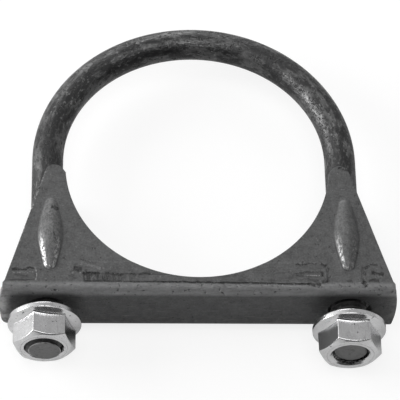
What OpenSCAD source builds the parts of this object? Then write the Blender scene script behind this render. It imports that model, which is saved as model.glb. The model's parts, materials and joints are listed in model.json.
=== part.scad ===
// Exhaust clamp: a bent rod, a folded saddle and two flange nuts, lying flat.
// The origin is the centre of the saddle's pipe seat. +Z runs along the pipe,
// and +Y runs from the seat to the rod's loop.

/* [Pipe] */
// Outside diameter of the pipe that the saddle's seat fits
pipe_d = 69.85; // [68:0.05:72]

/* [Rod] */
// Diameter of the plain rod
rod_d = 8.34; // [8:0.02:8.6]
// Outside diameter of the thread, which is rolled on the rod's ends
thread_d = 9.525; // [9.2:0.005:9.8]
// Length of thread on each leg, with its end chamfer and its run-out
thread_len = 38; // [32:0.5:42]
// Width of the chamfer at each end of the thread, across one side
thread_chamfer = 0.7; // [0.5:0.05:0.9]
// Radius of the loop's inner face over the radius of the pipe
loop_play = 0.35; // [0.3:0.01:0.9]
// Height of the loop's centre over the seat's centre, with the clamp slack
loop_rise = 7.4; // [4:0.1:9]
// Sideways shift of the rod in its holes, along X
rod_shift = -0.43; // [-0.5:0.01:0.5]
// Length of leg that stands out past the saddle's base
leg_past_base = 12.75; // [11.5:0.05:14]

/* [Saddle] */
// Thickness of the sheet
sheet_t = 2.5; // [2.2:0.05:2.7]
// Width over the two side walls
channel_w = 18.86; // [18.4:0.02:20]
// Outside radius of the two long folds
fold_r = 2.9; // [2.8:0.05:3.2]
// Height of metal from the base's outer face to the seat's lowest point
base_below_seat = 4.08; // [3.8:0.02:5]
// Length of base past each leg's axis, at mid width
base_past_leg = 12.15; // [11.4:0.05:13]
// Radius of the bulge at each end of the base
base_end_r = 47; // [40:1:70]
// Lean of the side walls' outer edges, from the legs
side_lean = 16.2; // [14:0.1:18]
// Radius of the ears' tips
ear_r = 2.5; // [2.2:0.05:2.7]
// Distance from the seat's edge out to the centre of an ear's tip
ear_out = 2.88; // [2.8:0.02:3.2]
// Distance of that centre below the seat's centre
ear_drop = 2.6; // [2:0.1:4]
// Diameter of the two leg holes over the diameter of the thread
leg_hole_play = 1.6; // [1.2:0.05:2]

/* [Beads] */
// Length of a pressed bead, with its round ends
bead_len = 22; // [18:0.5:24]
// Width of a bead at its middle, on the wall
bead_w = 6.4; // [5.6:0.1:7]
// Width of a bead's ends, on the wall
bead_end_w = 3.2; // [2.8:0.1:4]
// Height of a bead over the wall at its middle
bead_h = 1.7; // [1.2:0.05:2.1]
// Thickness of the sheet where the bead has stretched it
bead_wall_t = 1.9; // [1.7:0.05:2.1]
// Distance from the seat's edge out to a bead's axis
bead_out = 3.7; // [3.5:0.05:4.2]
// Height of a bead's middle over the base's outer face
bead_up = 17.2; // [16:0.1:18]

/* [Nuts] */
// Width of the hexagon across its flats
nut_af = 14.29; // [13.8:0.01:14.8]
// Height of a nut, with its flange
nut_h = 8.5; // [8:0.05:9]
// Diameter of the flange
flange_d = 19.05; // [18.4:0.05:19.6]
// Thickness of the flange's rim
flange_rim = 1.45; // [1.2:0.05:1.7]
// Slope of the flange's outer side
flange_slope = 22; // [18:1:26]
// Diameter of the flat left on the nut's end by its chamfer
nut_face_d = 13.3; // [12.8:0.05:13.7]
// Chamfer at both mouths of the nut's bore
nut_mouth = 0.4; // [0.2:0.05:0.5]
// Turn of the left nut's hexagon, clockwise as the nut's end is looked at
turn_left = 11; // [0:0.5:59]
// Turn of the right nut's hexagon, the same way
turn_right = 4; // [0:0.5:59]
// Gap between the base and the left nut's flange
gap_left = 3.45; // [2.5:0.05:4]
// Gap between the base and the right nut's flange
gap_right = 5.15; // [4:0.05:5.5]
// Clearance between thread and bore, all round
thread_play = 0.05; // [0.02:0.01:0.09]

/* [Hidden] */
$fn = 96;

past = 1;                       // how far a cut runs past a face
seat_r = pipe_d / 2;
rod_r = rod_d / 2;
thread_r = thread_d / 2;
loop_r = seat_r + loop_play + rod_r;
base_y = -seat_r - base_below_seat;
leg_end_y = base_y - leg_past_base;
wall_out = channel_w / 2;
wall_in = wall_out - sheet_t;
base_end_x = loop_r + base_past_leg;

ear_x = seat_r + ear_out;
ear_inner_angle = 145;          // where an ear's round tip turns in to the seat
lean_side = ear_r * [cos(side_lean), sin(side_lean)];
lean_down = [tan(side_lean), -1];

// A bead is part of two cones and two balls on one axis, which lies under the wall's outer face.
bead_sink = (pow(bead_w / 2, 2) - pow(bead_h, 2)) / (2 * bead_h);
bead_mid_r = bead_h + bead_sink;
bead_end_r = sqrt(pow(bead_end_w / 2, 2) + pow(bead_sink, 2));
bead_cone = bead_len / 2 - bead_end_w / 2;
bead_hollow_mid_r = bead_mid_r - bead_wall_t;
bead_hollow_end_r = bead_hollow_mid_r / 2;

nut_corner_r = nut_af / 2 / cos(30);

module along_x(length) {
    rotate([90, 0, 90]) linear_extrude(height = length, center = true) children();
}

module down_y() {
    rotate([90, 0, 0]) children();
}

module both_sides() {
    children();
    mirror([1, 0, 0]) children();
}

module both_walls() {
    children();
    mirror([0, 0, 1]) children();
}

// Rod
module threaded_end() {
    plain = thread_len - 2 * thread_chamfer;
    step_r = thread_r - thread_chamfer;
    rotate([-90, 0, 0]) {
        cylinder(h = thread_chamfer, r1 = step_r, r2 = thread_r);
        translate([0, 0, thread_chamfer]) cylinder(h = plain, r = thread_r);
        translate([0, 0, thread_chamfer + plain]) cylinder(h = thread_chamfer, r1 = thread_r, r2 = step_r);
    }
}

module leg() {
    inside_thread = leg_end_y + thread_len / 2;
    translate([loop_r, loop_rise, 0]) down_y() cylinder(h = loop_rise - inside_thread, r = rod_r);
    translate([loop_r, leg_end_y, 0]) threaded_end();
}

module u_bolt() {
    color("#47474a") translate([rod_shift, 0, 0]) {
        translate([0, loop_rise, 0]) rotate_extrude(angle = 180) translate([loop_r, 0]) circle(r = rod_r);
        both_sides() leg();
    }
}

// Saddle: a sheet cut to its outline, folded twice along its length and pressed with beads
module trough(inset) {
    r = fold_r - inset;
    y = base_y + inset;
    z = wall_out - inset;
    translate([y + r, -z]) square([-y, 2 * z]);
    translate([y, -z + r]) square([-y, 2 * (z - r)]);
    for (side = [-1, 1]) translate([y + r, side * (z - r)]) circle(r = r);
}

module side_outline() {
    tip = [ear_x, -ear_drop];
    turn_in = tip + ear_r * [cos(ear_inner_angle), sin(ear_inner_angle)];
    fold_y = base_y + fold_r;
    lean_end = tip + lean_side + lean_down * (tip[1] + lean_side[1] - fold_y);
    difference() {
        union() {
            polygon([
                [0, base_y],
                [base_end_x + past, base_y],
                [base_end_x + past, base_y + fold_r / 2],
                lean_end,
                tip + lean_side,
                tip,
                turn_in,
                turn_in + ear_r * [-sin(ear_inner_angle), cos(ear_inner_angle)],
                [0, -seat_r / 2]
            ]);
            translate(tip) circle(r = ear_r);
        }
        circle(r = seat_r);
    }
}

module base_ends() {
    height = seat_r + base_below_seat;
    both_sides() translate([base_end_x - base_end_r, 0, 0]) down_y() cylinder(h = height + past, r = base_end_r);
}

module folded_sheet() {
    intersection() {
        difference() {
            along_x(2 * base_end_x) trough(0);
            along_x(2 * base_end_x + 2 * past) trough(sheet_t);
        }
        linear_extrude(height = channel_w + 2 * past, center = true) both_sides() side_outline();
        base_ends();
    }
}

module bead_body(mid_r, end_r) {
    translate([seat_r + bead_out, base_y + bead_up, wall_out - bead_sink])
        for (turn = [-90, 90]) rotate([turn, 0, 0]) {
            cylinder(h = bead_cone, r1 = mid_r, r2 = end_r);
            translate([0, 0, bead_cone]) sphere(r = end_r);
        }
}

module bead() {
    intersection() {
        bead_body(bead_mid_r, bead_end_r);
        translate([0, base_y, wall_in]) cube([base_end_x, seat_r, wall_out]);
    }
}

module leg_hole() {
    translate([loop_r, base_y - past, 0]) rotate([-90, 0, 0]) cylinder(h = sheet_t + 2 * past, d = thread_d + leg_hole_play);
}

module saddle() {
    color("#58595b") difference() {
        union() {
            folded_sheet();
            both_walls() both_sides() bead();
        }
        both_walls() both_sides() bead_body(bead_hollow_mid_r, bead_hollow_end_r);
        both_sides() leg_hole();
    }
}

// Nuts: each is drawn standing on its flange, then laid along a leg
module hexagon() {
    chamfer = (nut_corner_r - nut_face_d / 2) * tan(30);
    intersection() {
        cylinder(h = nut_h, r = nut_corner_r, $fn = 6);
        rotate_extrude() polygon([
            [0, 0],
            [nut_corner_r + past, 0],
            [nut_corner_r + past, nut_h - chamfer - past * tan(30)],
            [nut_face_d / 2, nut_h],
            [0, nut_h]
        ]);
    }
}

module flange() {
    flange_r = flange_d / 2;
    under_hexagon = nut_face_d / 2;
    rotate_extrude() polygon([
        [0, 0],
        [flange_r, 0],
        [flange_r, flange_rim],
        [under_hexagon, flange_rim + (flange_r - under_hexagon) * tan(flange_slope)],
        [0, flange_rim + (flange_r - under_hexagon) * tan(flange_slope)]
    ]);
}

module nut_bore() {
    bore_r = thread_r + thread_play;
    translate([0, 0, -past]) cylinder(h = nut_h + 2 * past, r = bore_r);
    cylinder(h = nut_mouth, r1 = bore_r + nut_mouth, r2 = bore_r);
    translate([0, 0, nut_h - nut_mouth]) cylinder(h = nut_mouth, r1 = bore_r, r2 = bore_r + nut_mouth);
}

module flange_nut(side, gap, turn) {
    translate([rod_shift + side * loop_r, base_y - gap, 0]) down_y() rotate([0, 0, -turn]) difference() {
        union() {
            hexagon();
            flange();
        }
        nut_bore();
    }
}

module nut_left() {
    color("#b7b8ba") flange_nut(-1, gap_left, turn_left);
}

module nut_right() {
    color("#b7b8ba") flange_nut(1, gap_right, turn_right);
}

u_bolt();
saddle();
nut_left();
nut_right();
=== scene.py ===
"""Dresses the exhaust clamp: the bent and threaded rod, the pressed saddle and the two flange nuts."""
import json
import math
from collections import namedtuple

import bmesh
import bpy
from bmesh.types import BMEdge, BMVert
from bpy.props import FloatProperty, FloatVectorProperty, IntProperty, PointerProperty
from mathutils import Matrix, Vector


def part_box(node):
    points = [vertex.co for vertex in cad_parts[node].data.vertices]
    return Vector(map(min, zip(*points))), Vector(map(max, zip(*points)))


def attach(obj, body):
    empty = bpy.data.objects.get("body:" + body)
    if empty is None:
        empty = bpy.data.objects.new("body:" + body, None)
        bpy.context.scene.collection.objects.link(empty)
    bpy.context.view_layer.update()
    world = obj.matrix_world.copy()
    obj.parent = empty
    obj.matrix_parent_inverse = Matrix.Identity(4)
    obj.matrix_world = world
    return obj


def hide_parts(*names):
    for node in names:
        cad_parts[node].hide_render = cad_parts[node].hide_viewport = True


bl_info = {
    "name": "Exhaust Clamp",
    "version": (1, 0, 0),
    "blender": (4, 5, 0),
    "location": "View3D > Sidebar > Exhaust Clamp",
    "description": "Builds a U-bolt exhaust clamp round its CAD frame",
    "category": "Add Mesh",
}

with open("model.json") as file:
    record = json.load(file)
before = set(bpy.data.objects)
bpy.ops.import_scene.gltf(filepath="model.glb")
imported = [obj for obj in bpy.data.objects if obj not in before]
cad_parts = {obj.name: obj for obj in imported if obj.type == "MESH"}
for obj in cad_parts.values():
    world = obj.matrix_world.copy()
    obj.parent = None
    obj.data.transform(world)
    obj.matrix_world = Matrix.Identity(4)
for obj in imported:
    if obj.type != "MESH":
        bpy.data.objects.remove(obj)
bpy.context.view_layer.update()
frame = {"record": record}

MM = 0.001
WELD = 1e-7

SEAT = frame["record"]["mounts"][0]["dims"]
SEAT_R = SEAT["r_mm"] * MM
WALL_Z = SEAT["length_mm"] * MM / 2
ROD_LOW, ROD_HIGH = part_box("u_bolt")
SADDLE_LOW, SADDLE_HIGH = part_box("saddle")


def length(name, description, default_mm):
    """A size, given in mm and kept in metres."""
    return FloatProperty(name=name, description=description, default=default_mm * MM, unit="LENGTH",
                         subtype="DISTANCE", precision=5)


def facets(name, description, default):
    """A number of facets."""
    return IntProperty(name=name, description=description, default=default)


def angle(name, description, default_degrees):
    """An angle, given in degrees and kept in radians."""
    return FloatProperty(name=name, description=description, default=math.radians(default_degrees),
                         unit="ROTATION", subtype="ANGLE")


def colour(name, description, default):
    """A linear colour."""
    return FloatVectorProperty(name=name, description=description, default=default, size=3, min=0, max=1,
                               subtype="COLOR")


class ThreadSizes(bpy.types.PropertyGroup):
    """Sizes of the 3/8-16 thread, on the rod's ends and in the nuts."""
    pitch: length("Pitch", "Advance of the thread in one turn", 25.4 / 16)
    crest_r: length("Crest radius", "Radius over the rod's thread", 4.76)
    depth: length("Depth", "Depth of the rod's thread", 0.95)
    crest_flat: length("Crest flat", "Width of the flat on a crest", 0.22)
    root_flat: length("Root flat", "Width of the flat in a root", 0.28)
    nut_play: length("Nut play", "Clearance of the nut's thread, along the radius", 0.09)
    nut_minor_r: length("Nut minor radius", "Radius of the hole that the nut was tapped in", 3.98)
    steps: facets("Steps", "Facets in one turn of thread", 48)


class RodSizes(bpy.types.PropertyGroup):
    """Sizes of the bent rod."""
    rod_r: length("Rod radius", "Radius of the plain rod", 4.17)
    thread_len: length("Thread length", "Length of thread on each leg", 38)
    point: length("Point", "Chamfer at the end of each leg", 0.7)
    run_out: length("Run-out", "Length of the fading end of the thread", 2.4)
    around: facets("Around", "Facets around the rod", 64)
    bend_steps: facets("Bend steps", "Facets along the loop", 128)


class SaddleSizes(bpy.types.PropertyGroup):
    """Sizes of the folded and pressed sheet."""
    sheet_t: length("Sheet", "Thickness of the sheet", 2.5)
    fold_r: length("Fold radius", "Outside radius of the two long folds", 2.9)
    edge_r: length("Edge rounding", "Rounding of the sheared edges", 0.22)
    ear_r: length("Ear radius", "Radius of the ears' tips", 2.5)
    ear_out: length("Ear out", "From the seat's edge out to the centre of an ear's tip", 2.88)
    ear_drop: length("Ear drop", "From the seat's centre down to that centre", 2.6)
    ear_turn: angle("Ear turn", "Where an ear's round tip turns in to the seat", 145)
    lean: angle("Lean", "Lean of the side walls' outer edges", 16.2)
    end_r: length("End radius", "Radius of the bulge at each end of the base", 47)
    bead_len: length("Bead length", "Length of a pressed bead, with its round ends", 22)
    bead_w: length("Bead width", "Width of a bead at its middle", 6.4)
    bead_end_w: length("Bead end width", "Width of a bead's ends", 3.2)
    bead_h: length("Bead height", "Height of a bead over the wall", 1.7)
    bead_low_h: length("Bead lower end", "Height of a bead's lower end", 0.95)
    bead_top_h: length("Bead upper end", "Height of a bead's upper end", 0.5)
    bead_out: length("Bead out", "From the seat's edge out to a bead's axis", 3.7)
    bead_up: length("Bead up", "Height of a bead's middle over the base", 17.2)
    bead_foot: length("Bead foot", "Rounding where a bead meets the wall", 0.16)
    bead_wall_t: length("Bead wall", "Thickness of the stretched sheet on a bead", 1.9)
    hollow_rise: length("Hollow rise", "Height of bead at which its hollow begins", 0.6)
    print_depth: length("Print depth", "Depth of the press's marks on the walls", 0.1)
    worn_corner: length("Worn corner", "What the base's left lower corner has lost", 1.2)
    hole_play: length("Hole play", "Diameter of the leg holes over the thread's", 1.6)
    columns: facets("Columns", "Facets along half a seat", 124)
    rows: facets("Rows", "Facets from the seat to the outer edge", 54)


class NutSizes(bpy.types.PropertyGroup):
    """Sizes of a flange nut."""
    flats: length("Across flats", "Width of the hexagon", 14.29)
    face_r: length("Face radius", "Radius of the flat left on the nut's end", 6.65)
    rim: length("Rim", "Thickness of the flange's rim", 1.45)
    slope: angle("Flange slope", "Slope of the flange's outer side", 17)
    mouth: length("Mouth", "Chamfer at both mouths of the bore", 0.4)
    corner_r: length("Corner rounding", "Rounding of the hexagon's edges", 0.22)
    foot_r: length("Foot rounding", "Reach of the hollow at the hexagon's foot", 1.3)
    rim_r: length("Rim rounding", "Rounding of the flange's rim", 0.2)
    turn_left: angle("Left turn", "Turn of the left nut's hexagon", 11)
    turn_right: angle("Right turn", "Turn of the right nut's hexagon", 4)
    around: facets("Around", "Facets around a nut", 240)
    crowding: FloatProperty(name="Crowding", description="How far the facets crowd towards the corners",
                            default=0.7)


class Finishes(bpy.types.PropertyGroup):
    """Colours of the three finishes."""
    scale: colour("Mill scale", "Dark oxide on the rod", (0.011, 0.011, 0.0115))
    scuff: colour("Scuffed scale", "Oxide rubbed thin on the rod", (0.15, 0.15, 0.15))
    pit: colour("Pit", "Floor of the pits in the steel", (0.008, 0.008, 0.008))
    cut: colour("Cut steel", "The rod's two cut ends", (0.15, 0.15, 0.15))
    sheet: colour("Sheet steel", "The saddle's bare sheet", (0.074, 0.0745, 0.075))
    # Also the colour of painted highlights: the ring on each rod end's chamfer and the beads' left flanks
    burnish_and_highlight: colour("Burnished steel", "Steel rubbed bright on the beads", (0.42, 0.42, 0.42))
    zinc: colour("Zinc plate", "The nuts' plating", (0.67, 0.67, 0.675))
    # The colour of the painted shade in the threads, on the rod's ends and in the nuts' bores
    thread_shade: colour("Thread oil", "Dark oil in the threads", (0.018, 0.018, 0.018))


class StageSettings(bpy.types.PropertyGroup):
    """The camera that was fitted to the photograph, and the floor."""
    azimuth: angle("Azimuth", "Camera's turn from straight ahead", -4.118)
    elevation: angle("Elevation", "Camera's height over the horizon", 56.514)
    roll: angle("Roll", "Camera's roll", 3.778)
    distance: length("Distance", "Camera's distance from its target", 676.06)
    target_x: length("Target X", "Target of the camera, across the clamp", 0.977)
    target_y: length("Target Y", "Target of the camera, along the clamp", -4.961)
    lens: FloatProperty(name="Lens", description="Focal length for a 36 mm sensor", default=227.51)
    floor_half: length("Floor", "Half the width of the floor", 3000)
    floor_gap: length("Floor gap", "From the lowest bead down to the floor", 0.02)


class ClampSettings(bpy.types.PropertyGroup):
    """Everything that the exhaust clamp's tools read."""
    thread: PointerProperty(type=ThreadSizes)
    rod: PointerProperty(type=RodSizes)
    saddle: PointerProperty(type=SaddleSizes)
    nut: PointerProperty(type=NutSizes)
    finish: PointerProperty(type=Finishes)
    stage: PointerProperty(type=StageSettings)


def settings():
    return bpy.context.scene.exhaust_clamp


# Shader expressions
class Value:
    """A node's output. Arithmetic on it adds Math nodes."""

    def __init__(self, shader, socket):
        self.shader = shader
        self.socket = socket

    def math(self, operation, *others):
        operands = dict(enumerate((self, *others)))
        return self.shader.node("ShaderNodeMath", {"operation": operation}, operands)

    def __add__(self, other):
        return self.math("ADD", other)

    __radd__ = __add__

    def __sub__(self, other):
        return self.math("SUBTRACT", other)

    def __rsub__(self, other):
        return (self * -1) + other

    def __mul__(self, other):
        return self.math("MULTIPLY", other)

    __rmul__ = __mul__

    def __truediv__(self, other):
        return self.math("DIVIDE", other)

    def power(self, exponent):
        return self.math("POWER", exponent)

    def size(self):
        return self.math("ABSOLUTE")

    def least(self, other):
        return self.math("MINIMUM", other)

    def most(self, other):
        return self.math("MAXIMUM", other)

    def step(self, low, high):
        """0 below low and 1 above high, with a smooth rise; high may be the lower of the two."""
        options = {"interpolation_type": "SMOOTHSTEP", "clamp": False}
        limits = {"Value": self, "From Min": low, "From Max": high}
        return self.shader.node("ShaderNodeMapRange", options, limits)

    def band(self, low, high, soft):
        """1 between low and high, with edges of width soft."""
        return self.step(low - soft / 2, low + soft / 2) * self.step(high + soft / 2, high - soft / 2)


class Shader:
    """The node tree of one material or of the world."""

    def __init__(self, owner):
        owner.use_nodes = True
        self.tree = owner.node_tree
        self.tree.nodes.clear()

    def node(self, kind, options=None, inputs=None, output=0):
        """Adds a node: its options are set first, then its sockets get values or links."""
        made = self.tree.nodes.new(kind)
        for name, value in (options or {}).items():
            setattr(made, name, value)
        for name, value in (inputs or {}).items():
            if isinstance(value, Value):
                self.tree.links.new(value.socket, made.inputs[name])
            else:
                made.inputs[name].default_value = value
        return Value(self, made.outputs[output]) if made.outputs else None

    def point(self):
        return self.node("ShaderNodeTexCoord", output="Object")

    def attribute(self, name, output):
        return self.node("ShaderNodeAttribute", {"attribute_name": name}, output=output)

    def split(self, vector):
        """The three parts of a vector."""
        x = self.node("ShaderNodeSeparateXYZ", inputs={0: vector})
        return [Value(self, socket) for socket in x.socket.node.outputs]

    def noise(self, vector, grain_mm, detail, rough, stretch=None):
        """Noise from 0 to 1. Its blotches are about grain_mm across, and longer where stretch is low."""
        if stretch:
            vector = self.node("ShaderNodeVectorMath", {"operation": "MULTIPLY"}, {0: vector, 1: stretch})
        inputs = {"Vector": vector, "Scale": 1 / (grain_mm * MM), "Detail": detail, "Roughness": rough}
        return self.node("ShaderNodeTexNoise", inputs=inputs)

    def blend(self, factor, first, second):
        """Mixes two colours."""
        inputs = {"Factor": factor, "A": self.rgba(first), "B": self.rgba(second)}
        return self.node("ShaderNodeMix", {"data_type": "RGBA"}, inputs, output="Result")

    def rgba(self, value):
        return value if isinstance(value, Value) else (*value, 1)

    def scale_colour(self, factor, value):
        """A colour times a number."""
        grey = self.node("ShaderNodeCombineColor", inputs={0: factor, 1: factor, 2: factor})
        inputs = {"Factor": 1.0, "A": self.rgba(value), "B": grey}
        return self.node("ShaderNodeMix", {"data_type": "RGBA", "blend_type": "MULTIPLY"}, inputs,
                         output="Result")

    def bump(self, height, depth_mm):
        return self.node("ShaderNodeBump", inputs={"Height": height, "Distance": depth_mm * MM})

    def ray(self, kind):
        """1 for rays of a kind, such as Camera, and 0 for all others."""
        return self.node("ShaderNodeLightPath", output=f"Is {kind} Ray")

    def mirrored(self):
        """1 where a surface is seen in metal or through glass, and 0 elsewhere."""
        return self.ray("Glossy") + self.ray("Transmission")

    def mix(self, factor, first, second):
        """Mixes two shaders."""
        return self.node("ShaderNodeMixShader", inputs={0: factor, 1: first, 2: second})

    def background(self, grey):
        return self.node("ShaderNodeBackground", inputs={"Color": (grey, grey, grey, 1)})

    def paper(self, grey, glow):
        """Grey paper that also glows."""
        paper = self.node("ShaderNodeBsdfDiffuse", inputs={"Color": (grey, grey, grey, 1)})
        light = self.node("ShaderNodeEmission", inputs={"Color": (1, 1, 1, 1), "Strength": glow})
        return self.node("ShaderNodeAddShader", inputs={0: paper, 1: light})

    def surface(self, **inputs):
        """Ends a material. Its inputs are the sockets' names in lower case."""
        names = {name.replace("_", " ").title(): value for name, value in inputs.items() if name != "ior"}
        names["IOR"] = inputs.get("ior", 1.5)
        bsdf = self.node("ShaderNodeBsdfPrincipled", inputs=names)
        self.node("ShaderNodeOutputMaterial", inputs={"Surface": bsdf})


def named_material(name):
    """A new material and the tool that fills it."""
    made = bpy.data.materials.new(name)
    return made, Shader(made)


# Finishes
def mill_scale():
    """Dark rolled scale, streaked along the rod, with pits and bright flecks, and grey cut ends. The
    threads are darkened with painted shade, and a painted highlight rings each end's chamfer.
    """
    made, s = named_material("mill_scale")
    finish = settings().finish
    thread_top = ROD_LOW.y + settings().rod.thread_len
    along = s.attribute("rod_line", "Vector")
    streaks = s.noise(along, 2.6, 4, 0.7, (1, 0.32, 1))
    cloud = s.noise(along, 9, 2, 0.5, (1, 0.5, 1))
    flecks = s.noise(along, 0.8, 2, 0.65, (1, 0.6, 1))
    pits = s.noise(along, 0.9, 2, 0.6)
    patch = cloud.step(0.40, 0.62) * 0.7 + 0.3
    worn = streaks.step(0.46, 0.62) * 0.55 + flecks.step(0.56, 0.68) * patch * 0.8
    pitted = pits.step(0.42, 0.34)
    y = s.split(s.point())[1]
    # Painted shade: the threaded end is darkened for the shade inside the nut and between the nut and the
    # base
    shaded_thread = y.step(thread_top, thread_top - 2 * MM)
    cut = y.step(ROD_LOW.y + 0.08 * MM, ROD_LOW.y + 0.04 * MM) * (flecks.step(0.35, 0.5) * 0.4 + 0.6)
    # Painted highlight: a bright ring round each end's chamfer
    rim = y.step(ROD_LOW.y + 0.55 * MM, ROD_LOW.y + 0.35 * MM) * (flecks.step(0.36, 0.5) * 0.6 + 0.3)
    shade = s.blend(pitted * 0.8, s.blend(worn, finish.scale, finish.scuff), finish.pit)
    shade = s.blend(rim, s.blend(shaded_thread * 0.8, shade, finish.thread_shade), finish.burnish_and_highlight)
    height = streaks * 1.4 + flecks * 0.6 - pitted
    s.surface(base_color=s.blend(cut, shade, finish.cut), metallic=0.3, ior=1.6,
              roughness=0.40 - worn * 0.08 + pitted * 0.2, normal=s.bump(height, 0.15))
    return made


# Heights at which the fold's painted highlight and dents, and the base's finish, begin, from the seat's
# centre
FOLD_HIGHLIGHT_AND_DENTS = (-36.0 * MM, -37.0 * MM)
BASE_FINISH = (-37.4 * MM, -38.9 * MM)

# Marks of the press on each side wall: a hatched band and a rubbed one, which fade at their ends
HATCH_BAND = (-36.2 * MM, -33.7 * MM)
HATCH_START = (-30.5 * MM, -29.5 * MM)
HATCH_FADE = (-14.0 * MM, -26.0 * MM)
RUBBED_BAND = (-36.6 * MM, -32.0 * MM)
RUBBED_FADE = (36.0 * MM, 31.0 * MM)
# Strokes, in mm: the two ends, the width and how strong a stroke is
RULED_STROKES = (
    ((-29.6, -36.4), (-9.0, -36.5), 0.5, 0.75),
    ((-9.4, -36.5), (28.6, -36.9), 0.65, 0.9),
    ((-29.8, -34.1), (2.0, -34.4), 0.5, 0.45),
    ((-42.4, -36.1), (-48.7, -36.2), 0.5, 0.5),
)
DARK_STROKES = (
    ((-32.3, -32.5), (-30.1, -32.7), 2.3, 0.75),
    ((-33.1, -33.0), (-32.2, -34.8), 1.4, 0.4),
    ((-33.6, -34.6), (-31.6, -35.6), 1.2, 0.45),
    ((-31.4, -33.4), (-29.4, -34.2), 1.0, 0.5),
    ((-30.1, -34.0), (-25.8, -34.1), 0.9, 0.8),
    ((-27.9, -34.1), (-27.9, -36.0), 0.4, 0.5),
    ((-22.9, -34.3), (-19.6, -34.4), 0.8, 0.75),
    ((-17.9, -34.4), (-16.2, -34.4), 0.7, 0.6),
    ((-15.6, -34.3), (-12.6, -33.9), 1.4, 0.5),
    ((-30.1, -30.3), (-26.4, -31.0), 0.6, 0.4),
    ((25.2, -31.4), (28.2, -31.2), 0.9, 0.75),
    ((28.2, -30.8), (30.6, -30.9), 0.6, 0.6),
    ((31.5, -31.0), (33.0, -31.7), 1.0, 0.75),
    ((24.6, -33.9), (28.0, -33.6), 0.9, 0.7),
    ((28.0, -33.6), (31.8, -33.4), 1.2, 0.55),
    ((32.1, -33.3), (32.1, -34.8), 1.5, 0.85),
    ((25.2, -34.6), (27.0, -34.6), 0.9, 0.5),
    ((28.0, -35.8), (31.0, -36.1), 1.1, 0.5),
    ((28.2, -36.9), (31.5, -37.0), 1.3, 0.85),
    ((31.6, -36.4), (33.4, -36.3), 1.1, 0.7),
    ((33.4, -31.9), (33.2, -36.6), 0.8, 0.45),
    ((42.9, -32.4), (44.2, -31.3), 1.0, 0.7),
    ((44.4, -30.9), (46.5, -31.1), 0.8, 0.6),
    ((42.6, -33.8), (43.4, -34.0), 1.2, 0.6),
    ((44.6, -33.7), (47.8, -34.2), 1.3, 0.9),
    ((43.9, -36.0), (46.6, -35.8), 1.1, 0.7),
    ((42.2, -36.3), (43.3, -37.4), 1.4, 0.75),
    ((42.2, -31.6), (42.3, -37.2), 0.9, 0.4),
    ((38.2, -35.9), (39.7, -36.1), 0.9, 0.6),
    ((-48.2, -33.2), (-42.5, -32.4), 1.1, 0.85),
    ((-47.5, -34.6), (-44.0, -35.3), 0.7, 0.45),
    ((-38.3, -13.9), (-36.4, -14.3), 1.4, 0.9),
    ((-37.3, -22.3), (-36.9, -24.6), 1.0, 0.85),
    ((37.5, -1.2), (38.6, -0.8), 0.6, 0.85),
    ((38.3, -1.3), (40.6, -1.6), 0.6, 0.85),
    ((41.8, -1.0), (43.3, -2.3), 0.7, 0.85),
)
LIGHT_STROKES = (
    ((-42.0, -32.5), (-42.0, -36.1), 0.5, 0.6),
    ((-48.2, -33.9), (-42.8, -33.7), 0.5, 0.22),
    ((27.8, -34.4), (31.4, -34.4), 0.35, 0.6),
    ((-30.9, -30.9), (-24.5, -32.7), 1.1, 0.14),
    ((-33.9, -31.2), (-33.2, -33.4), 0.9, 0.12),
    ((-33.3, -33.9), (-32.4, -33.8), 0.7, 0.45),
    ((-30.9, -33.8), (-30.2, -33.8), 0.7, 0.4),
    ((45.5, -34.7), (47.2, -34.6), 0.8, 0.16),
)


def strokes(x, y, ragged, table):
    """How strongly a point of a wall is marked by the strokes of a table, from 0 to 1."""
    marked = 0
    for (x0, y0), (x1, y1), width, strength in table:
        run = math.hypot(x1 - x0, y1 - y0)
        way_x, way_y = (x1 - x0) / run, (y1 - y0) / run
        along = x * way_x + y * way_y - (x0 * way_x + y0 * way_y) * MM
        across = y * way_x - x * way_y - (y0 * way_x - x0 * way_y) * MM + ragged
        inside = along.band(0, run * MM, 0.5 * MM) * across.size().step(width / 2 * MM, width / 8 * MM)
        marked = inside * strength + marked
    return marked


def press_marks(s, p, mottle, grain):
    """Where the press left a wall dark, light, hatched and rubbed, each from 0 to 1."""
    x, y, _ = s.split(p)
    ragged = (mottle - 0.5) * (1.8 * MM) + (grain - 0.5) * (1.0 * MM)
    dark = strokes(x, y, ragged, DARK_STROKES) + strokes(x, y, ragged * 0.25, RULED_STROKES)
    dark = dark * (grain.step(0.34, 0.5) * 0.7 + 0.3)
    light = strokes(x, y, ragged * 0.5, LIGHT_STROKES) * grain.step(0.38, 0.56)
    hatched = s.noise(p, 0.42, 2, 0.6, (1, 0.14, 1)).step(0.46, 0.56)
    hatched = hatched * x.step(*HATCH_START) * x.step(*HATCH_FADE)
    hatched = hatched * (y + ragged * 0.5).band(*HATCH_BAND, 0.8 * MM)
    rubbed = s.noise(p, 1.1, 3, 0.7, (0.4, 1, 1)).step(0.45, 0.68)
    rubbed = rubbed * y.band(*RUBBED_BAND, 1.2 * MM) * x.size().step(*RUBBED_FADE)
    return dark, light, hatched, rubbed


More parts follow.
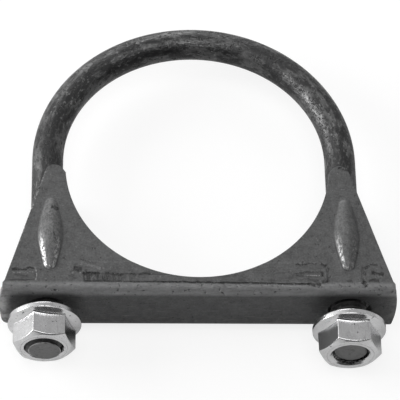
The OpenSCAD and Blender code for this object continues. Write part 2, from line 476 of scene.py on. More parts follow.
def bead_wear(s, p, on_left):
    """How bright the beads are rubbed, with a painted highlight on their left flanks, and the painted shade
    round their feet, each from 0 to 1.
    """
    saddle = settings().saddle
    x, y, _ = s.split(p)
    half_w, half_end, cone = bead_plan()
    up = y - (SADDLE_LOW.y + saddle.bead_up)
    across = x.size() - (SEAT_R + saddle.bead_out)
    share = (up.size() * (1 / cone)).least(1)
    width = half_w - share.power(BEAD_TAPER) * (half_w - half_end)
    past_end = (up.size() - cone).most(0)
    out = (across * across + past_end * past_end).power(0.5) / width
    low = (up * (-1 / cone)).step(-0.1, 0.7)
    # Painted highlight: on both beads the flank towards -X, which faces the left softbox, is made brighter
    left_flank = (across * (1 - on_left * 2)).step(0.4 * MM, -0.4 * MM)
    flank = out.band(0.52, 0.93, 0.22) * low * (left_flank * 0.4 + on_left * 0.3 + 0.3)
    # Painted shade in the crease round each bead's foot, deeper at its lower end
    foot = out.band(0.98, 1.14, 0.12) * (low * 0.7 + 0.3)
    speckle = s.noise(p, 0.55, 2, 0.75, (1, 0.6, 1)).step(0.44, 0.58)
    # Rubbed bright metal on the beads, part real wear and part painted highlight
    rub_and_highlight = flank * (speckle * 0.87 + 0.08)
    rub_and_highlight = rub_and_highlight + out.step(1.0, 0.8) * (speckle * 0.17 + on_left * 0.04) * (on_left * 0.4 + 0.45)
    return rub_and_highlight, foot


def edge_wear(s, p, mottle, on_left):
    """Bare metal along the left wall's leaning edge and at the base's sheared ends, each from 0 to 1."""
    saddle = settings().saddle
    x, y, z = s.split(p)
    edge = wall_corners(0).out
    to_edge = (x.size() - edge.x) * math.cos(saddle.lean) + (y - edge.y) * math.sin(saddle.lean)
    burr = to_edge.step(-0.55 * MM, -0.15 * MM) * on_left
    burr = burr * y.band(-25 * MM, -2 * MM, 2 * MM) * s.noise(p, 0.7, 2, 0.6).step(0.50, 0.58)
    end_reach = z * z * (0.5 / saddle.end_r) + x.size()
    cut_end = end_reach.step(SADDLE_HIGH.x - 3.4 * MM, SADDLE_HIGH.x - 0.2 * MM)
    return burr, cut_end * (on_left * 0.6 + 0.2) * (mottle.step(0.35, 0.6) * 0.7 + 0.3)


def sheet_steel():
    """Bare dark sheet, matt and mottled, with the press's marks and beads that are rubbed bright. A painted
    highlight runs along the fold and on the beads' left flanks, and painted shade lies round the beads'
    feet.
    """
    made, s = named_material("sheet_steel")
    finish = settings().finish
    p = s.point()
    x, y, z = s.split(p)
    cloud = s.noise(p, 8, 3, 0.55)
    mottle = s.noise(p, 1.8, 2, 0.6)
    grain = s.noise(p, 0.5, 2, 0.6)
    drawn = s.noise(p, 0.8, 2, 0.6, (0.22, 1, 1))
    scratches = s.noise(p, 0.4, 1, 0.5, (0.07, 1, 1)).step(0.68, 0.74)
    specks = s.noise(p, 0.9, 1, 0.5).step(0.30, 0.22)
    flecks = s.noise(p, 0.8, 1, 0.5).step(0.71, 0.77)

    on_left = x.step(1 * MM, -1 * MM)
    on_wall = z.size().step(WALL_Z - 0.9 * MM, WALL_Z - 0.5 * MM)
    on_base = y.step(*BASE_FINISH)
    # The fold's mask carries the painted highlight and the dents; its weight grows down into the fold
    on_fold = z.size().step(WALL_Z - 3.4 * MM, WALL_Z - 0.9 * MM) * y.step(*FOLD_HIGHLIGHT_AND_DENTS)
    on_fold = on_fold * (0.55 + (WALL_Z - z.size()) * (0.75 / MM))
    dents = s.noise(p, 1.0, 2, 0.6, (0.7, 1, 1)).step(0.38, 0.30) * on_fold
    dark, light, hatched, rubbed = [mark * on_wall for mark in press_marks(s, p, mottle, grain)]
    rub_and_highlight, foot = [wear * on_wall for wear in bead_wear(s, p, on_left)]
    burr, cut_end = edge_wear(s, p, mottle, on_left)

    tone = cloud * 0.6 + mottle * 0.95 + grain * 1.3 - 0.40
    # A painted highlight along the fold, streaked
    tone = tone + on_fold * (drawn * 1.8 + 0.46) + on_base * 0.42
    # The beads' feet are darkened with painted shade
    tone = tone * (1 - specks * 0.45) * (1 - foot * 0.45) * (1 - hatched * 0.75)
    tone = tone * (1 - dark.least(0.85)) * (1 - (dents * 0.5).least(0.8)) * (1 - rubbed * 0.38)
    bright = rub_and_highlight + light + flecks * 0.14 + (scratches * 0.15 + cut_end) * (1 - on_wall)
    bright = (bright + burr * on_wall * 0.5).least(1)
    shade = s.blend(bright, s.scale_colour(tone, finish.sheet), finish.burnish_and_highlight)
    height = grain + mottle - dark * 4 - hatched * 2 - specks * 2 - rubbed - dents * 2
    s.surface(base_color=shade, metallic=(bright * 0.5 + on_base * 0.42 + 0.3).least(1),
              roughness=0.52 - bright * 0.2 + on_base * 0.04 + (grain - 0.5) * 0.1,
              normal=s.bump(height, 0.06))
    return made


def zinc_plate():
    """Bright zinc with fine handling marks and specks, and painted shade in the thread of the bore."""
    made, s = named_material("zinc_plate")
    finish = settings().finish
    p = s.point()
    marks = s.noise(p, 0.6, 3, 0.6)
    cloud = s.noise(p, 3.0, 2, 0.5)
    specks = s.noise(p, 0.8, 1, 0.5).step(0.31, 0.24)
    lines = s.noise(p, 0.5, 1, 0.5, (1, 0.12, 1)).step(0.62, 0.72)
    # Painted shade in the bore's thread, from the bore attribute, which also carries the thin darker rings
    # on the ends
    bore = s.attribute("bore", "Fac").step(0.3, 0.9) * (marks.step(0.60, 0.48) * 0.4 + 0.6)
    tone = (cloud * 0.30 + marks * 0.30 + 0.70) * (1 - specks * 0.7) * (1 - lines * 0.12)
    shade = s.blend(bore, s.scale_colour(tone, finish.zinc), finish.thread_shade)
    s.surface(base_color=shade, metallic=1.0, roughness=0.15 + marks * 0.12 + bore * 0.2,
              normal=s.bump(marks * 0.7 + cloud * 1.5 - specks * 0.6, 0.022))
    return made


# Meshes
def smooth_least(a, b, soft):
    """The lower of two values, rounded where they cross."""
    near = max(soft - abs(a - b), 0) / soft
    return min(a, b) - near * near * soft / 4


def smooth_most(a, b, soft):
    return -smooth_least(-a, -b, soft)


def ease(value, low, high):
    """0 at low and 1 at high, with a smooth rise."""
    t = min(max((value - low) / (high - low), 0), 1)
    return t * t * (3 - 2 * t)


def only(kind, geom):
    """The members of a list of geometry that are of one kind."""
    return [g for g in geom if isinstance(g, kind)]


def ends_of(edges):
    """The vertices of some edges."""
    return list({v for e in edges for v in e.verts})


def edge_loop(bm, test):
    """The open edges whose two ends pass the test."""
    return [e for e in bm.edges if e.is_boundary and all(test(v.co) for v in e.verts)]


def pull(bm, edges, offset):
    """Extrudes edges by an offset and returns the new ones."""
    made = bmesh.ops.extrude_edge_only(bm, edges=edges)["geom"]
    bmesh.ops.translate(bm, vec=offset, verts=only(BMVert, made))
    return [e for e in only(BMEdge, made) if e.is_boundary]


def mesh_of(bm, name):
    """A mesh made of a bmesh, which ends with it."""
    mesh = bpy.data.meshes.new(name)
    bm.to_mesh(mesh)
    bm.free()
    return mesh


def join(target, source):
    """Adds one bmesh to another."""
    mesh = mesh_of(source, "part")
    target.from_mesh(mesh)
    bpy.data.meshes.remove(mesh)


def add_object(name, data):
    """A new object in the scene."""
    made = bpy.data.objects.new(name, data)
    bpy.context.collection.objects.link(made)
    return made


def finish_piece(bm, name, node, material, sharp_degrees):
    """Turns a bmesh into the piece that stands for one CAD node."""
    bmesh.ops.remove_doubles(bm, verts=bm.verts, dist=WELD)
    bmesh.ops.recalc_face_normals(bm, faces=bm.faces)
    mesh = mesh_of(bm, name)
    mesh.shade_smooth()
    mesh.set_sharp_from_angle(angle=math.radians(sharp_degrees))
    mesh.materials.append(material)
    piece = add_object(name, mesh)
    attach(piece, node)
    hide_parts(node)
    return piece


def thread_profile(thread, root_r, crest_r):
    """One pitch of thread from root to root, as (radius, height)."""
    slant = (thread.pitch - thread.crest_flat - thread.root_flat) / 2 / thread.depth
    crest_half = thread.crest_flat / 2
    foot_half = crest_half + slant * (crest_r - root_r)
    middle = thread.pitch / 2
    return [
        (root_r, 0),
        (root_r, middle - foot_half),
        (crest_r, middle - crest_half),
        (crest_r, middle + crest_half),
        (root_r, middle + foot_half),
        (root_r, thread.pitch),
    ]


def screw(bm, profile, axis_x, low, high):
    """Spins a thread's profile up a leg's axis and cuts it flat at both ends."""
    thread = settings().thread
    first = math.floor(low / thread.pitch) - 1
    turns = math.ceil(high / thread.pitch) + 1 - first
    verts = [bm.verts.new((axis_x + r, first * thread.pitch + y, 0)) for r, y in profile]
    edges = [bm.edges.new(ends) for ends in zip(verts, verts[1:])]
    bmesh.ops.spin(bm, geom=verts + edges, cent=(axis_x, 0, 0), axis=(0, 1, 0),
                   dvec=(0, thread.pitch / thread.steps, 0), angle=2 * math.pi * turns,
                   steps=thread.steps * turns)
    bmesh.ops.remove_doubles(bm, verts=bm.verts, dist=WELD)
    for y, way in ((low, -1), (high, 1)):
        bmesh.ops.bisect_plane(bm, geom=[*bm.verts, *bm.edges, *bm.faces], dist=WELD, plane_co=(0, y, 0),
                               plane_no=(0, way, 0), clear_outer=True)


def circle(bm, segments, radius, centre):
    """A circle round a line along Y, as its vertices and its edges."""
    turned = Matrix.Translation(centre) @ Matrix.Rotation(math.pi / 2, 4, "X")
    verts = bmesh.ops.create_circle(bm, segments=segments, radius=radius, matrix=turned)["verts"]
    return verts, list({e for v in verts for e in v.link_edges})


def reshape_radius(verts, axis_x, change):
    """Moves each vertex to the radius change(radius, height, angle) round a leg's axis."""
    for v in verts:
        arm = Vector((v.co.x - axis_x, 0, v.co.z))
        r = change(arm.length, v.co.y, math.atan2(arm.x, arm.z))
        v.co = Vector((axis_x, v.co.y, 0)) + arm.normalized() * r


# The bent rod
STRAIGHT_STEPS = 16
JOIN_GAP = 0.5 * MM
END_RING = 0.12 * MM


def rod_places():
    """The loop's centre line radius, the middle between the legs and the loop's height."""
    size = settings()
    middle = (ROD_LOW.x + ROD_HIGH.x) / 2
    leg = (ROD_HIGH.x - ROD_LOW.x) / 2 - size.thread.crest_r
    loop_y = ROD_HIGH.y - leg - size.rod.rod_r
    return leg, middle, loop_y


def threaded_end(axis_x):
    """A leg's thread, pointed at its end and faded into the rod."""
    size = settings()
    thread, rod = size.thread, size.rod
    low = ROD_LOW.y
    high = low + rod.thread_len
    bm = bmesh.new()
    root_r = thread.crest_r - thread.depth
    screw(bm, thread_profile(thread, root_r, thread.crest_r), axis_x, low, high)

    def shaped(r, y, _):
        point = thread.crest_r - rod.point + (y - low)
        faded = ease(y, high - rod.run_out, high)
        return min(r, point) * (1 - faded) + rod.rod_r * faded

    reshape_radius(bm.verts, axis_x, shaped)
    end = bmesh.ops.holes_fill(bm, edges=edge_loop(bm, lambda co: co.y < low + WELD), sides=0)["faces"]
    bmesh.ops.inset_region(bm, faces=end, thickness=END_RING, depth=0)
    return bm


def rod_line(co, leg, middle, loop_y):
    """A point of the rod as it lay before bending: outwards, along and up."""
    x, y = co.x - middle, co.y
    if y > loop_y:
        turned = math.atan2(y - loop_y, x)
        return (math.hypot(x, y - loop_y) - leg, loop_y + leg * turned, co.z)
    if x > 0:
        return (x - leg, y, co.z)
    return (-x - leg, 2 * loop_y + math.pi * leg - y, co.z)


def build_rod():
    """The plain bend and legs are swept first, and the two threads are joined to them."""
    rod = settings().rod
    leg, middle, loop_y = rod_places()
    thread_top = ROD_LOW.y + rod.thread_len
    bm = bmesh.new()
    ring, ring_edges = circle(bm, rod.around, rod.rod_r, (middle + leg, loop_y, 0))
    bmesh.ops.spin(bm, geom=ring + ring_edges, cent=(middle, loop_y, 0), axis=(0, 0, 1), angle=math.pi,
                   steps=rod.bend_steps)
    for side in (-1, 1):
        ends = edge_loop(bm, lambda co: co.y < loop_y + WELD and (co.x - middle) * side > 0)
        drop = (thread_top + JOIN_GAP - loop_y) / STRAIGHT_STEPS
        for _ in range(STRAIGHT_STEPS):
            ends = pull(bm, ends, (0, drop, 0))
        join(bm, threaded_end(middle + side * leg))
        open_edges = edge_loop(bm, lambda co: (co.x - middle) * side > 0 and co.y < loop_y - JOIN_GAP)
        bmesh.ops.bridge_loops(bm, edges=open_edges)
    piece = finish_piece(bm, "rod", "u_bolt", mill_scale(), 40)
    straightened = piece.data.attributes.new("rod_line", "FLOAT_VECTOR", "POINT")
    for item, v in zip(straightened.data, piece.data.vertices):
        item.vector = rod_line(v.co, leg, middle, loop_y)


# The saddle
EAR_FLAT_STEPS = 3
EAR_IN_STEPS = 4
EAR_OUT_STEPS = 8
FOLD_STEPS = 8
BASE_STEPS = 10
FOLD_FLARE = 1.7
FLARE_ROUNDING = 0.6 * MM
HOLE_MARGIN = 0.35 * MM
END_MARGIN = 3 * MM
WORN_REACH = 4 * MM
BEAD_TAPER = 1.5
# Where the press's dies sank into a wall: one in the middle and one at each end, between two heights
PRINT_LOW, PRINT_HIGH = -36.6 * MM, -30.8 * MM
PRINT_LEFT = (-34.5 * MM, -32.5 * MM)
PRINT_RIGHT = (33.5 * MM, 32.9 * MM)
PRINT_ENDS = (41.5 * MM, 42.1 * MM)

# The centre of an ear's round tip, its outer and inner ends, the seat's upper end and the wall's foot
Corners = namedtuple("Corners", "tip out turn_in corner foot")


def spun_line(bm, start, centre, turn, steps):
    """Sweeps a vertex round centre, in the wall's plane, and returns the arc's last vertex."""
    made = bmesh.ops.spin(bm, geom=[start], cent=centre, axis=(0, 0, 1), angle=turn, steps=steps)
    return only(BMVert, made["geom_last"])[0]


def straight_line(bm, start, end, steps):
    """Adds a straight run of edges and returns its last vertex."""
    step = (Vector(end) - start.co) / steps
    for _ in range(steps):
        made = bmesh.ops.extrude_vert_indiv(bm, verts=[start])
        start = made["verts"][0]
        bmesh.ops.translate(bm, vec=step, verts=[start])
    return start


def wall_corners(inset):
    """Corners of the right half of a side wall, drawn in from its edges by inset."""
    saddle = settings().saddle
    ear_r = saddle.ear_r - inset
    tip = Vector((SEAT_R + saddle.ear_out, -saddle.ear_drop, WALL_Z))
    out = tip + ear_r * Vector((math.cos(saddle.lean), math.sin(saddle.lean), 0))
    turn_in = tip + ear_r * Vector((math.cos(saddle.ear_turn), math.sin(saddle.ear_turn), 0))
    fold_y = SADDLE_LOW.y + saddle.fold_r + inset
    foot = out + Vector((math.tan(saddle.lean), -1, 0)) * (out.y - fold_y)
    way = Vector((-math.sin(saddle.ear_turn), math.cos(saddle.ear_turn)))
    short = turn_in.to_2d().dot(way)
    run = -short - math.sqrt(short ** 2 - turn_in.to_2d().length_squared + (SEAT_R + inset) ** 2)
    corner = turn_in + way.to_3d() * run
    return Corners(tip, out, turn_in, corner, foot)


def seat_line(bm, inset):
    """Draws the wall's edge along the seat and up to an ear's top."""
    saddle = settings().saddle
    wall = wall_corners(inset)
    start = bm.verts.new((0, -SEAT_R - inset, WALL_Z))
    seat_turn = math.atan2(wall.corner.y, wall.corner.x) + math.pi / 2
    end = spun_line(bm, start, (0, 0, WALL_Z), seat_turn, saddle.columns - EAR_FLAT_STEPS - EAR_IN_STEPS)
    end = straight_line(bm, end, wall.turn_in, EAR_FLAT_STEPS)
    spun_line(bm, end, wall.tip, math.pi / 2 - saddle.ear_turn, EAR_IN_STEPS)


def outer_line(bm, inset):
    """Draws the wall's edge along the fold, up its leaning side and over an ear."""
    saddle = settings().saddle
    wall = wall_corners(inset)
    start = bm.verts.new((0, wall.foot.y, WALL_Z))
    fold_steps = saddle.columns // 2
    end = straight_line(bm, start, wall.foot, fold_steps)
    end = straight_line(bm, end, wall.out, saddle.columns - fold_steps - EAR_OUT_STEPS)
    spun_line(bm, end, wall.tip, math.pi / 2 - saddle.lean, EAR_OUT_STEPS)


def half_wall():
    """The right half of a side wall's outer face, as a grid from the seat to the outer edge."""
    saddle = settings().saddle
    bm = bmesh.new()
    margin = 1.2 * saddle.edge_r
    lines = []
    for draw, inset in ((seat_line, 0), (seat_line, margin), (outer_line, margin), (outer_line, 0)):
        before = set(bm.edges)
        draw(bm, inset)
        lines.append([e for e in bm.edges if e not in before])
    bands = [bmesh.ops.bridge_loops(bm, edges=a + b) for a, b in zip(lines, lines[1:])]
    bmesh.ops.subdivide_edges(bm, edges=bands[1]["edges"], cuts=saddle.rows - 1, use_grid_fill=True)
    bmesh.ops.remove_doubles(bm, verts=bm.verts, dist=WELD)
    return bm


def end_x(y, z):
    """How far the sheet reaches sideways in its folds and its base."""
    saddle = settings().saddle
    foot = wall_corners(0).foot
    bulge = SADDLE_HIGH.x - saddle.end_r + math.sqrt(saddle.end_r ** 2 - z ** 2)
    flare = foot.x + (foot.y - y) * FOLD_FLARE
    return smooth_least(bulge, flare, FLARE_ROUNDING)


def add_fold_and_base(bm):
    """Folds the wall's foot into the base, out to the middle of the base."""
    saddle = settings().saddle
    fold_y = SADDLE_LOW.y + saddle.fold_r
    foot = edge_loop(bm, lambda co: abs(co.y - fold_y) < WELD)
    centre = (0, fold_y, WALL_Z - saddle.fold_r)
    made = bmesh.ops.spin(bm, geom=ends_of(foot) + foot, cent=centre, axis=(1, 0, 0), angle=math.pi / 2,
                          steps=FOLD_STEPS)
    edges = only(BMEdge, made["geom_last"])
    for _ in range(BASE_STEPS):
        edges = pull(bm, edges, (0, 0, (saddle.fold_r - WALL_Z) / BASE_STEPS))
    foot_x = wall_corners(0).foot.x
    for v in bm.verts:
        if v.co.y < fold_y - WELD:
            v.co.x *= end_x(v.co.y, v.co.z) / foot_x


def mirror_piece(bm, axis):
    """Adds the mirrored half of a piece and welds it along the plane."""
    bmesh.ops.mirror(bm, geom=[*bm.verts, *bm.edges, *bm.faces], axis=axis, merge_dist=WELD)
    bmesh.ops.remove_doubles(bm, verts=bm.verts, dist=WELD)


def cut_leg_hole(bm):
    """Opens the base round the right leg: the faces there go, and their rim is drawn in to the hole."""
    size = settings()
    leg = rod_places()[0]
    hole_r = size.thread.crest_r + size.saddle.hole_play / 2
    block = hole_r + HOLE_MARGIN

    def in_base(co, reach):
        flat_half = min(reach, WALL_Z - size.saddle.fold_r)
        return co.y < SADDLE_LOW.y + WELD and abs(co.x - leg) < reach and abs(co.z) < flat_half

    gone = [f for f in bm.faces if in_base(f.calc_center_median(), block)]
    bmesh.ops.delete(bm, geom=gone, context="FACES")
    rim = edge_loop(bm, lambda co: in_base(co, 2 * block) and co.x < SADDLE_HIGH.x - END_MARGIN)
    made = bmesh.ops.extrude_edge_only(bm, edges=rim)["geom"]
    for v in only(BMVert, made):
        arm = Vector((v.co.x - leg, 0, v.co.z)).normalized() * hole_r
        v.co = (leg + arm.x, v.co.y, arm.z)


def bead_plan():
    """Half the width of a bead's middle and of its ends, and the length of each of its two tapers."""
    saddle = settings().saddle
    half_end = saddle.bead_end_w / 2
    return saddle.bead_w / 2, half_end, saddle.bead_len / 2 - half_end


def bead_height(x, y):
    """Height of the pressed beads over the wall, without the rounding at their feet."""
    saddle = settings().saddle
    half_mid, half_end, cone = bead_plan()
    up = y - (SADDLE_LOW.y + saddle.bead_up)
    across = abs(x) - (SEAT_R + saddle.bead_out)
    share = min(abs(up) / cone, 1)
    end_h = saddle.bead_low_h if up < 0 else saddle.bead_top_h
    half_w = half_mid + (half_end - half_mid) * share ** BEAD_TAPER
    top = saddle.bead_h + (end_h - saddle.bead_h) * share
    r = (half_w ** 2 + top ** 2) / (2 * top)
    past_end = max(abs(up) - cone, 0)
    return math.sqrt(max(r ** 2 - across ** 2 - past_end ** 2, 0)) - (r - top)


def print_share(x, y):
    """How deep the press's dies sank into a wall here, from 0 to 1."""
    level = ease(y, PRINT_LOW - 0.2 * MM, PRINT_LOW + 0.2 * MM) * ease(y, PRINT_HIGH + 0.6 * MM, PRINT_HIGH)
    middle = ease(x, *PRINT_LEFT) * ease(x, *PRINT_RIGHT)
    return level * max(middle, ease(abs(x), *PRINT_ENDS))


def press_beads(bm):
    """Raises the beads and their hollows from the walls' two faces, and sinks the dies' prints."""
    saddle = settings().saddle
    deepest = saddle.bead_h + saddle.sheet_t - saddle.bead_wall_t
    steepness = deepest / (saddle.bead_h - saddle.hollow_rise)
    inner_z = WALL_Z - saddle.sheet_t
    hollow_foot = 4 * saddle.bead_foot
    for v in bm.verts:
        height = bead_height(v.co.x, v.co.y)
        if abs(v.co.z) > WALL_Z - WELD:
            rise = smooth_most(height, 0, saddle.bead_foot)
            rise -= saddle.print_depth * print_share(v.co.x, v.co.y)
            v.co.z += math.copysign(rise, v.co.z)
        elif abs(abs(v.co.z) - inner_z) < 10 * WELD:
            rise = smooth_most((height - saddle.hollow_rise) * steepness, 0, hollow_foot)
            v.co.z += math.copysign(rise, v.co.z)


def wear_corner(bm):
    """Rounds the base's left lower corner, which the shear left short."""
    saddle = settings().saddle
    fold_y = SADDLE_LOW.y + saddle.fold_r
    for v in bm.verts:
        if v.co.x < 0 and v.co.y < fold_y:
            share = ease(-v.co.z, WALL_Z - WORN_REACH, WALL_Z) * ease(v.co.x, -SEAT_R, SADDLE_LOW.x)
            v.co.x += saddle.worn_corner * share


def build_saddle():
    """One quarter is drawn and folded, mirrored twice, given its thickness and pressed."""
    saddle = settings().saddle
    bm = half_wall()
    add_fold_and_base(bm)
    mirror_piece(bm, "Z")
    cut_leg_hole(bm)
    mirror_piece(bm, "X")
    wear_corner(bm)
    bmesh.ops.recalc_face_normals(bm, faces=bm.faces)
    bmesh.ops.solidify(bm, geom=[*bm.verts, *bm.edges, *bm.faces], thickness=saddle.sheet_t)
    press_beads(bm)
    piece = finish_piece(bm, "pressed_saddle", "saddle", sheet_steel(), 60)
    edges = piece.modifiers.new("edges", "BEVEL")
    edges.width = saddle.edge_r
    edges.segments = 2
    edges.limit_method = "ANGLE"
    edges.angle_limit = math.radians(75)
    edges.harden_normals = True


# The flange nuts
NUT_CHAMFER = math.radians(30)
NUT_EDGE_R = 0.15 * MM
# Heights of a nut's rings of vertices, in mm. They crowd at the hexagon's foot and the chamfer
NUT_RINGS = (0, 0.5, 1.0, *(1.2 + 0.06 * i for i in range(26)), 3.2, 4.2, 5.2, 6.2, 6.9,
             *(7.1 + 0.07 * i for i in range(20)))
# A thin darker ring on each of a nut's two ends: radii in mm, and how dark each is
DARK_RINGS = ((6.2, 0), (6.06, 0.75), (5.92, 0))


def build_nut(node, turn):
    """The outside is drawn up from the flange in rings, and the threaded bore joins both ends."""
    size = settings()
    nut, thread = size.nut, size.thread
    low_corner, high_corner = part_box(node)
    axis_x = (low_corner.x + high_corner.x) / 2
    face_y, bearing_y = low_corner.y, high_corner.y
    height = bearing_y - face_y
    flange_r = (high_corner.x - low_corner.x) / 2
    apothem = nut.flats / 2

    def radius(h, around):
        spread = (around - turn + math.pi / 6) % (math.pi / 3) - math.pi / 6
        flat_side = apothem / math.cos(spread)
        next_side = apothem / math.cos(math.pi / 3 - abs(spread))
        hexagon = smooth_least(flat_side, next_side, nut.corner_r)
        chamfer = nut.face_r + (height - h) / math.tan(NUT_CHAMFER)
        body = smooth_least(hexagon, chamfer, nut.corner_r)
        cone = flange_r - (h - nut.rim) / math.tan(nut.slope)
        flange = smooth_least(flange_r, cone, nut.rim_r)
        return smooth_most(body, flange, min(nut.foot_r, flange_r - body))

    bm = bmesh.new()
    ring, edges = circle(bm, nut.around, flange_r, (axis_x, bearing_y, 0))
    for v in ring:
        around = math.atan2(v.co.x - axis_x, v.co.z)
        around += turn + nut.crowding / 6 * math.sin(6 * around)
        v.co = (axis_x + flange_r * math.sin(around), bearing_y, flange_r * math.cos(around))
    heights = [*NUT_RINGS, height / MM]
    for a, b in zip(heights, heights[1:]):
        edges = pull(bm, edges, (0, (a - b) * MM, 0))
    reshape_radius(bm.verts, axis_x, lambda r, y, around: radius(bearing_y - y, around))
    mouth_r = thread.crest_r + thread.nut_play + nut.mouth
    dark_ring_layer = bm.verts.layers.float.new("bore")
    for y, rounding in ((face_y, NUT_EDGE_R), (bearing_y, 2 * NUT_EDGE_R)):
        rim = edge_loop(bm, lambda co: abs(co.y - y) < WELD)
        made = pull(bm, rim, (0, 0, 0))
        reshape_radius(ends_of(made), axis_x, lambda r, y, around: r - 2.5 * rounding)
        for ring_mm, darkness in (*DARK_RINGS, ((mouth_r + NUT_EDGE_R) / MM, 0)):
            made = pull(bm, made, (0, 0, 0))
            reshape_radius(ends_of(made), axis_x, lambda r, y, around: ring_mm * MM)
            for v in ends_of(made):
                v[dark_ring_layer] = darkness
        bmesh.ops.bevel(bm, geom=rim, offset=rounding, segments=3, affect="EDGES", profile=0.5, material=-1)
    bore = bmesh.new()
    profile = thread_profile(thread, thread.nut_minor_r, thread.crest_r + thread.nut_play)
    screw(bore, profile, axis_x, face_y, bearing_y)
    reshape_radius(bore.verts, axis_x, lambda r, y, _: max(r, mouth_r - min(y - face_y, bearing_y - y)))
    # The bore's thread is marked for the painted shade in it
    shaded_thread = bore.verts.layers.float.new("bore")
    for v in bore.verts:
        v[shaded_thread] = float(face_y + nut.mouth + WELD < v.co.y < bearing_y - nut.mouth - WELD)
    join(bm, bore)
    for y in (face_y, bearing_y):
        bmesh.ops.bridge_loops(bm, edges=edge_loop(bm, lambda co: abs(co.y - y) < WELD))
    finish_piece(bm, node.replace("nut", "flange_nut"), node, zinc_plate(), 35)


# Lamps: name, direction from the clamp, distance and width in metres, watts
LAMPS = (
    ("left_softbox", (-0.92, 0.09, 0.35), 1.2, 0.7, 15.0),
    ("top_softbox", (0.02, -0.24, 0.97), 1.2, 0.8, 6.0),
    ("back_softbox", (-0.10, 0.90, 0.42), 1.3, 0.7, 5.0),
    ("right_fill", (0.80, 0.10, 0.60), 1.4, 0.4, 1.0),
)
# Light of the studio's walls: on the clamp, in its metal, and in its metal on the left. The front is darker
WORLD_LIGHT = 0.28
WORLD_IN_METAL = 0.46
WINDOW_IN_METAL = 1.1
FRONT_DARKNESS = 0.85
# Grey and glow of the floor: on the clamp, in its metal, in its metal under the base, where a shadow is
# painted, and to the camera
FLOOR_LIGHT = (0.60, 0)
FLOOR_IN_METAL = (0.70, 0.05)
SHADE_IN_METAL = (0.12, 0)
FLOOR_TO_CAMERA = (0.21, 0.81)


def white_floor():
    """White floor: bright to the camera and in the metal, and with the clamp's soft shadow on it. Under the
    base, a painted shadow darkens the floor that the metal mirrors.
    """
    made, s = named_material("white_floor")
    x, y, _ = s.split(s.point())
    # A painted shadow under the base, which only the metal mirrors
    under_base = y.step(-42 * MM, -39 * MM) * y.step(-25 * MM, -29 * MM) * x.size().step(70 * MM, 56 * MM)
    in_metal = s.mix(under_base, s.paper(*FLOOR_IN_METAL), s.paper(*SHADE_IN_METAL))
    around = s.mix(s.mirrored(), s.paper(*FLOOR_LIGHT), in_metal)
    shown = s.mix(s.ray("Camera"), around, s.paper(*FLOOR_TO_CAMERA))
    s.node("ShaderNodeOutputMaterial", inputs={"Surface": shown})
    return made


def add_floor():
    stage = settings().stage
    bm = bmesh.new()
    under_clamp = Matrix.Translation((0, 0, SADDLE_LOW.z - stage.floor_gap))
    bmesh.ops.create_grid(bm, x_segments=1, y_segments=1, size=stage.floor_half, matrix=under_clamp)
    mesh = mesh_of(bm, "floor")
    mesh.materials.append(white_floor())
    add_object("floor", mesh)


def add_lamps():
    for name, way, distance, width, watts in LAMPS:
        data = bpy.data.lights.new(name, "AREA")
        data.shape = "SQUARE"
        data.size = width
        data.energy = watts
        lamp = add_object(name, data)
        lamp.location = Vector(way).normalized() * distance
        lamp.rotation_euler = Vector(way).to_track_quat("Z", "Y").to_euler()
        lamp.visible_camera = False


def set_world():
    """Grey light that fades towards the studio's dark front, and white past the floor's edge."""
    world = bpy.data.worlds.new("studio")
    bpy.context.scene.world = world
    s = Shader(world)
    x, y, _ = s.split(s.point())
    metal_wall = s.mix(x.step(0.1, -0.9), s.background(WORLD_IN_METAL), s.background(WINDOW_IN_METAL))
    wall = s.mix(s.mirrored(), s.background(WORLD_LIGHT), metal_wall)
    faded = s.mix(y.step(0.5, -0.7) * FRONT_DARKNESS, wall, s.background(0))
    shown = s.mix(s.ray("Camera"), faded, s.background(1))
    s.node("ShaderNodeOutputWorld", inputs={"Surface": shown})


def add_camera():
    stage = settings().stage
    azimuth, elevation, roll = stage.azimuth, stage.elevation, stage.roll
    right = Vector((math.cos(azimuth), math.sin(azimuth), 0))
    level_back = Vector((math.sin(azimuth), -math.cos(azimuth), 0))
    back = level_back * math.cos(elevation) + Vector((0, 0, math.sin(elevation)))
    up = back.cross(right)
    turned_right = right * math.cos(roll) + up * math.sin(roll)
    turned_up = up * math.cos(roll) - right * math.sin(roll)
    camera = add_object("camera", bpy.data.cameras.new("camera"))
    target = Vector((stage.target_x, stage.target_y, 0))
    place = Matrix.Identity(4)
    for column, axis in enumerate((turned_right, turned_up, back, target + back * stage.distance)):
        for row in range(3):
            place[row][column] = axis[row]
    camera.matrix_world = place
    camera.data.lens = stage.lens
    camera.data.sensor_width = 36
    camera.data.clip_start = 0.01
    bpy.context.scene.camera = camera


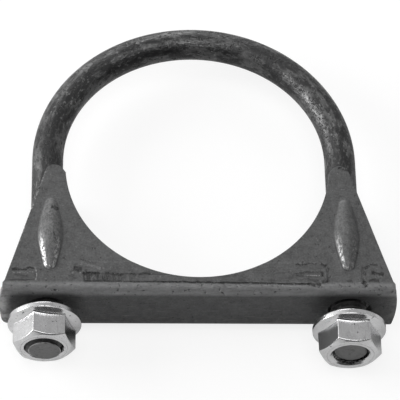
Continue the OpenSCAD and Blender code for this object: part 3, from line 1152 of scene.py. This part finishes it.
def build_stage():
    add_floor()
    add_lamps()
    set_world()
    add_camera()
    bpy.context.scene.view_settings.view_transform = "Standard"


class MakeRod(bpy.types.Operator):
    """Models the bent rod with its two rolled threads"""
    bl_idname = "exhaust_clamp.make_rod"
    bl_label = "Rod"

    def execute(self, context):
        build_rod()
        return {"FINISHED"}


class MakeSaddle(bpy.types.Operator):
    """Models the folded saddle with its pressed beads"""
    bl_idname = "exhaust_clamp.make_saddle"
    bl_label = "Saddle"

    def execute(self, context):
        build_saddle()
        return {"FINISHED"}


class MakeNuts(bpy.types.Operator):
    """Models the two flange nuts"""
    bl_idname = "exhaust_clamp.make_nuts"
    bl_label = "Flange nuts"

    def execute(self, context):
        nut = settings().nut
        build_nut("nut_left", nut.turn_left)
        build_nut("nut_right", nut.turn_right)
        return {"FINISHED"}


class SetStage(bpy.types.Operator):
    """Sets up the floor, the lights and the camera"""
    bl_idname = "exhaust_clamp.set_stage"
    bl_label = "Stage"

    def execute(self, context):
        build_stage()
        return {"FINISHED"}


OPERATORS = (MakeRod, MakeSaddle, MakeNuts, SetStage)


class ClampPanel(bpy.types.Panel):
    """Lists the exhaust clamp's tools"""
    bl_idname = "VIEW3D_PT_exhaust_clamp"
    bl_label = "Exhaust Clamp"
    bl_space_type = "VIEW_3D"
    bl_region_type = "UI"
    bl_category = "Exhaust Clamp"

    def draw(self, context):
        for operator in OPERATORS:
            self.layout.operator(operator.bl_idname)


CLASSES = (ThreadSizes, RodSizes, SaddleSizes, NutSizes, Finishes, StageSettings, ClampSettings,
           *OPERATORS, ClampPanel)


def register():
    for item in CLASSES:
        bpy.utils.register_class(item)
    bpy.types.Scene.exhaust_clamp = PointerProperty(type=ClampSettings)


def unregister():
    del bpy.types.Scene.exhaust_clamp
    for item in reversed(CLASSES):
        bpy.utils.unregister_class(item)


def main():
    register()
    bpy.ops.exhaust_clamp.make_rod()
    bpy.ops.exhaust_clamp.make_saddle()
    bpy.ops.exhaust_clamp.make_nuts()
    bpy.ops.exhaust_clamp.set_stage()


if __name__ == "__main__":
    main()
